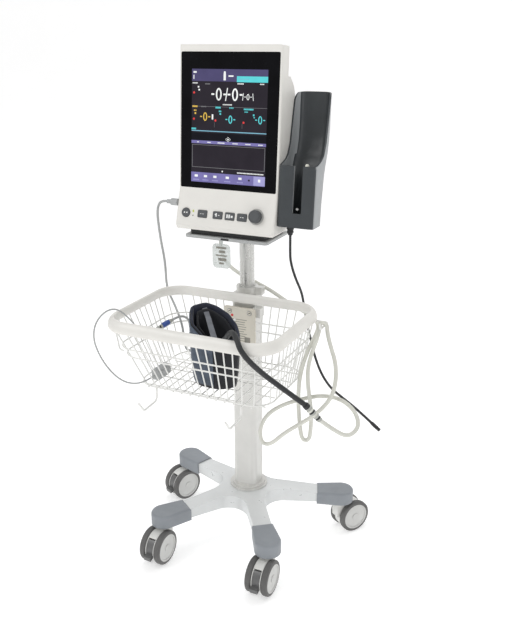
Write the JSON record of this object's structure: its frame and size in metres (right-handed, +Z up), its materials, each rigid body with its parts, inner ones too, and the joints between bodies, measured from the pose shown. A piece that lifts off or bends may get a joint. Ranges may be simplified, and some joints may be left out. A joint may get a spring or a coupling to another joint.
{
  "type": "patient monitor",
  "caption": "Portrait vital-signs monitor on a height-set column with a tray, thermometer cradle, wire basket, folded cuff, looped hose, cables and a braked caster base.",
  "frame": {"origin": "on the floor under the middle of the object's plan outline, cords left out", "axes": "+Z up; the screen faces -Y; +X is to the right of someone who stands behind the screen's viewer looking along +Y"},
  "size_m": [0.5854, 0.4572, 1.0761],
  "materials": {
    "aluminium_paint": "satin silver powder coat",
    "cap_grey": "fine matte blue-grey",
    "column_silver": "satin silver powder coat",
    "post_bright": "satin drawn tube",
    "steel_zinc": "zinc plated",
    "knob_black": "matte",
    "label_beige": "smooth label film on plate",
    "basket_white": "smooth white coating",
    "rim_cream": "smooth soft sheen",
    "cuff_navy": "woven nylon",
    "hose_black": "matte",
    "connector_grey": "translucent grey",
    "hose_beige": "smooth matte",
    "cable_grey": "smooth matte",
    "connector_blue": "matte",
    "tray_grey": "satin",
    "adapter_black": "matte",
    "case_white": "fine texture",
    "glass_black": "polished",
    "display_dark": "lit screen",
    "board_green": "solder mask",
    "battery_blue": "shrink wrap",
    "pump_grey": "matte",
    "key_grey": "matte",
    "cradle_grey": "fine matte",
    "tag_clear": "clear film",
    "caster_white": "satin",
    "core_grey": "satin",
    "tyre_grey": "matte",
    "pedal_grey": "satin"
  },
  "bodies": {
    "base": {"base_casting": "aluminium_paint", "leg_caps": "cap_grey", "column": "column_silver", "column_bolt": "steel_zinc", "column_collar": "column_silver", "label_plate": "label_beige", "basket_bracket": "column_silver", "basket_rim": "rim_cream", "basket_walls": "basket_white", "basket_corners": "basket_white", "basket_floor": "basket_white", "cuff": "cuff_navy", "cuff_hose": "hose_black", "hose_connector": "connector_grey", "air_hose": "hose_beige", "trunk_cable": "cable_grey", "trunk_connector": "connector_blue", "sensor_cable": "cable_grey", "finger_sensor": "cable_grey", "probe_cord": "hose_black", "probe_plug": "hose_black"},
    "head": {"inner_post": "post_bright", "tray": "tray_grey", "adapter_plate": "adapter_black", "front_housing": "case_white", "rear_housing": "case_white", "touch_glass": "glass_black", "display_panel": "display_dark", "circuit_boards": "board_green", "battery": "battery_blue", "air_pump": "pump_grey", "assembly_screws": "steel_zinc", "trunk_plug": "cable_grey", "thermometer_cradle": "cradle_grey", "hang_tag": "tag_clear"},
    "clamp_knob": {"clamp_knob": "knob_black"},
    "tray_latch": {"tray_latch": "knob_black"},
    "power_key": {"power_key": "key_grey"},
    "soft_key_1": {"soft_key_1": "key_grey"},
    "soft_key_2": {"soft_key_2": "key_grey"},
    "soft_key_3": {"soft_key_3": "key_grey"},
    "soft_key_4": {"soft_key_4": "key_grey"},
    "encoder_shaft": {"encoder_shaft": "steel_zinc"},
    "menu_knob": {"menu_knob": "key_grey"},
    "rear_left_swivel": {"rear_left_caster_housing": "caster_white"},
    "rear_left_wheel": {"rear_left_wheel_cores": "core_grey", "rear_left_tyres": "tyre_grey"},
    "rear_left_pedal": {"rear_left_brake_pedal": "pedal_grey"},
    "front_left_swivel": {"front_left_caster_housing": "caster_white"},
    "front_left_wheel": {"front_left_wheel_cores": "core_grey", "front_left_tyres": "tyre_grey"},
    "front_left_pedal": {"front_left_brake_pedal": "pedal_grey"},
    "front_right_swivel": {"front_right_caster_housing": "caster_white"},
    "front_right_wheel": {"front_right_wheel_cores": "core_grey", "front_right_tyres": "tyre_grey"},
    "front_right_pedal": {"front_right_brake_pedal": "pedal_grey"},
    "rear_right_swivel": {"rear_right_caster_housing": "caster_white"},
    "rear_right_wheel": {"rear_right_wheel_cores": "core_grey", "rear_right_tyres": "tyre_grey"},
    "rear_right_pedal": {"rear_right_brake_pedal": "pedal_grey"}
  },
  "joints": [
    {"name": "post_height", "type": "slide", "parent": "base", "child": "head", "axis": [0, 0, 1], "range_m": [0, 0.1]},
    {"name": "clamp_knob_turn", "type": "hinge", "parent": "base", "child": "clamp_knob", "pos_m": [-0.00409, 0.12152, 0.552], "axis": [0, 1, 0], "range_deg": [0, 180]},
    {"name": "tray_latch_pull", "type": "slide", "parent": "head", "child": "tray_latch", "axis": [0, -1, 0], "range_m": [0, 0.006], "stiffness_N_per_m": 250, "springref_m": -0.003},
    {"name": "power_key_press", "type": "slide", "parent": "head", "child": "power_key", "axis": [0, 0.9589, -0.2836], "range_m": [0, 0.0012], "stiffness_N_per_m": 400, "springref_m": -0.001},
    {"name": "soft_key_1_press", "type": "slide", "parent": "head", "child": "soft_key_1", "axis": [0, 0.9589, -0.2836], "range_m": [0, 0.0012], "stiffness_N_per_m": 400, "springref_m": -0.001},
    {"name": "soft_key_2_press", "type": "slide", "parent": "head", "child": "soft_key_2", "axis": [0, 0.9589, -0.2836], "range_m": [0, 0.0012], "stiffness_N_per_m": 400, "springref_m": -0.001},
    {"name": "soft_key_3_press", "type": "slide", "parent": "head", "child": "soft_key_3", "axis": [0, 0.9589, -0.2836], "range_m": [0, 0.0012], "stiffness_N_per_m": 400, "springref_m": -0.001},
    {"name": "soft_key_4_press", "type": "slide", "parent": "head", "child": "soft_key_4", "axis": [0, 0.9589, -0.2836], "range_m": [0, 0.0012], "stiffness_N_per_m": 400, "springref_m": -0.001},
    {"name": "encoder_push", "type": "slide", "parent": "head", "child": "encoder_shaft", "axis": [0, 0.9589, -0.2836], "range_m": [0, 0.001], "stiffness_N_per_m": 900, "springref_m": -0.001},
    {"name": "menu_knob_turn", "type": "hinge", "parent": "encoder_shaft", "child": "menu_knob", "pos_m": [0.06391, -0.02492, 0.76812], "axis": [0, -0.9589, 0.2836], "continuous": true},
    {"name": "rear_left_swivel_turn", "type": "hinge", "parent": "base", "child": "rear_left_swivel", "pos_m": [-0.20201, 0.15749, 0.09], "axis": [0, 0, 1], "continuous": true},
    {"name": "rear_left_wheel_roll", "type": "hinge", "parent": "rear_left_swivel", "child": "rear_left_wheel", "pos_m": [-0.21299, 0.13283, 0.0375], "axis": [0.9135, -0.4067, 0], "continuous": true},
    {"name": "rear_left_pedal_press", "type": "hinge", "parent": "rear_left_swivel", "child": "rear_left_pedal", "pos_m": [-0.21299, 0.13283, 0.0375], "axis": [0.9135, -0.4067, 0], "range_deg": [0, 12]},
    {"name": "front_left_swivel_turn", "type": "hinge", "parent": "base", "child": "front_left_swivel", "pos_m": [-0.1287, -0.08999, 0.09], "axis": [0, 0, 1], "continuous": true},
    {"name": "front_left_wheel_roll", "type": "hinge", "parent": "front_left_swivel", "child": "front_left_wheel", "pos_m": [-0.13012, -0.11696, 0.0375], "axis": [0.9986, -0.0523, 0], "continuous": true},
    {"name": "front_left_pedal_press", "type": "hinge", "parent": "front_left_swivel", "child": "front_left_pedal", "pos_m": [-0.13012, -0.11696, 0.0375], "axis": [0.9986, -0.0523, 0], "range_deg": [0, 12]},
    {"name": "front_right_swivel_turn", "type": "hinge", "parent": "base", "child": "front_right_swivel", "pos_m": [0.12052, -0.08999, 0.09], "axis": [0, 0, 1], "continuous": true},
    {"name": "front_right_wheel_roll", "type": "hinge", "parent": "front_right_swivel", "child": "front_right_wheel", "pos_m": [0.12052, -0.11699, 0.0375], "axis": [1, 0, 0], "continuous": true},
    {"name": "front_right_pedal_press", "type": "hinge", "parent": "front_right_swivel", "child": "front_right_pedal", "pos_m": [0.12052, -0.11699, 0.0375], "axis": [1, 0, 0], "range_deg": [0, 12]},
    {"name": "rear_right_swivel_turn", "type": "hinge", "parent": "base", "child": "rear_right_swivel", "pos_m": [0.19383, 0.15749, 0.09], "axis": [0, 0, 1], "continuous": true},
    {"name": "rear_right_wheel_roll", "type": "hinge", "parent": "rear_right_swivel", "child": "rear_right_wheel", "pos_m": [0.20931, 0.17961, 0.0375], "axis": [-0.8192, 0.5736, 0], "continuous": true},
    {"name": "rear_right_pedal_press", "type": "hinge", "parent": "rear_right_swivel", "child": "rear_right_pedal", "pos_m": [0.20931, 0.17961, 0.0375], "axis": [-0.8192, 0.5736, 0], "range_deg": [0, 12]}
  ]
}
